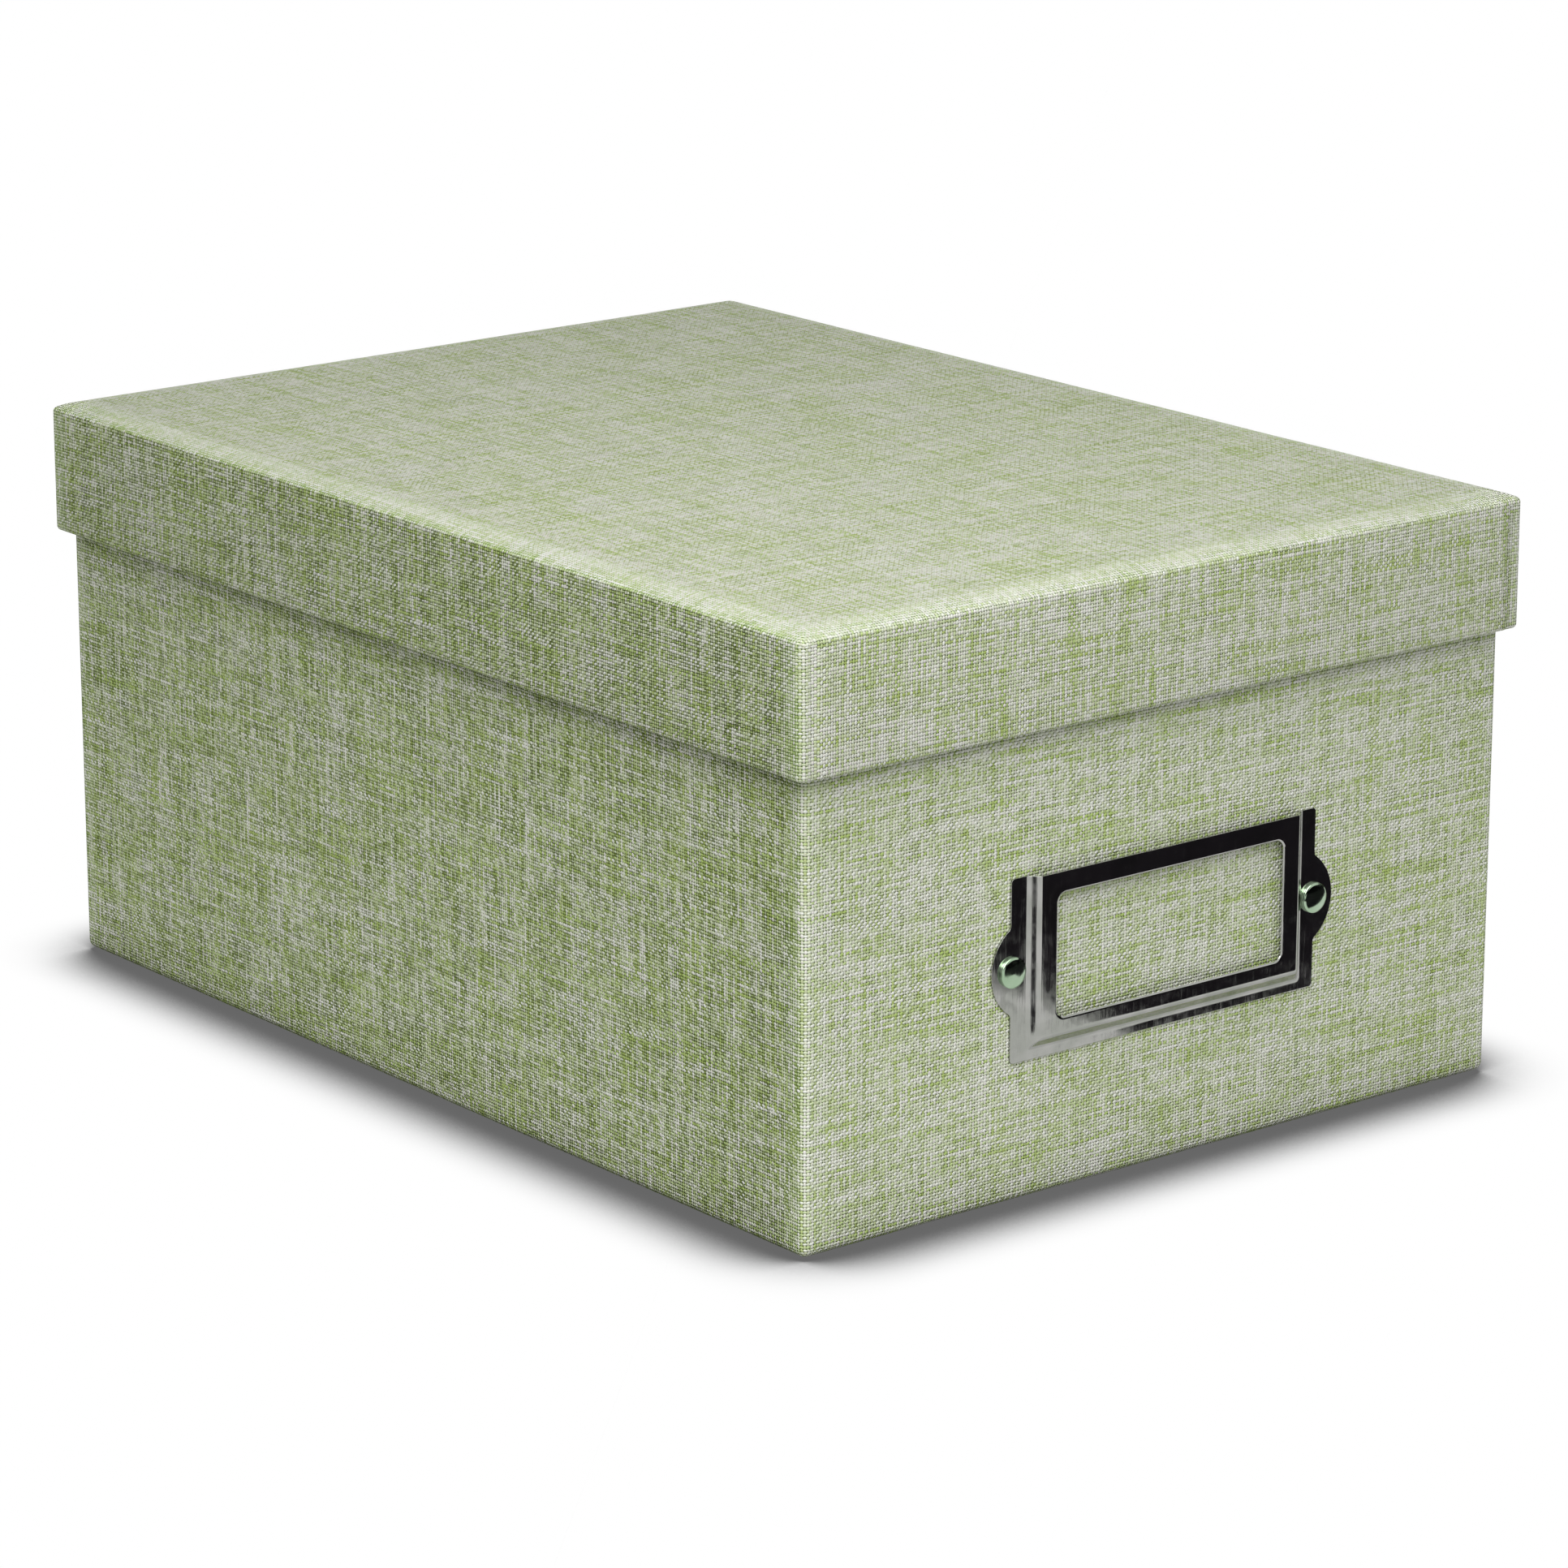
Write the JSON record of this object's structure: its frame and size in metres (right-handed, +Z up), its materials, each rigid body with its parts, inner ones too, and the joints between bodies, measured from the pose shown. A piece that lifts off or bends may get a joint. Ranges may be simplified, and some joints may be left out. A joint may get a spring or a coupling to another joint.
{
  "type": "storage box",
  "caption": "Rectangular cloth-covered board box for prints, with a lift-off lid and a riveted metal label frame on one end.",
  "frame": {"origin": "centre of the underside, where the box stands", "axes": "+Z up; +Y along the box's length, away from the end with the label frame, which faces -Y; +X across the box"},
  "size_m": [0.197, 0.273, 0.13],
  "materials": {
    "cover_cloth": "plain linen weave of green and pale grey threads",
    "grey_board": "bare grey board",
    "corner_paper": "gummed kraft paper",
    "lining_paper": "matt off-white paper",
    "underside_card": "matt off-white card",
    "nickel_plate": "polished nickel plate with fine rub marks",
    "nickel_rivet": "polished nickel plate, slightly warm"
  },
  "bodies": {
    "base": {"base_underside_card": "underside_card", "base_floor_board": "grey_board", "base_front_board": "grey_board", "base_back_board": "grey_board", "base_left_board": "grey_board", "base_right_board": "grey_board", "base_stay_front_left": "corner_paper", "base_stay_front_right": "corner_paper", "base_stay_back_left": "corner_paper", "base_stay_back_right": "corner_paper", "base_cover_cloth": "cover_cloth", "base_wall_lining": "lining_paper", "base_floor_lining": "lining_paper", "label_frame": "nickel_plate", "label_rivet_left": "nickel_rivet", "label_rivet_right": "nickel_rivet", "inside_rivet_cap_left": "nickel_rivet", "inside_rivet_cap_right": "nickel_rivet"},
    "lid": {"lid_top_board": "grey_board", "lid_front_board": "grey_board", "lid_back_board": "grey_board", "lid_left_board": "grey_board", "lid_right_board": "grey_board", "lid_stay_front_left": "corner_paper", "lid_stay_front_right": "corner_paper", "lid_stay_back_left": "corner_paper", "lid_stay_back_right": "corner_paper", "lid_cover_cloth": "cover_cloth", "lid_lining": "lining_paper"}
  },
  "joints": [
    {"name": "lid_lift", "type": "slide", "parent": "base", "child": "lid", "axis": [0, 0, 1], "range_m": [0, 0.15]}
  ]
}
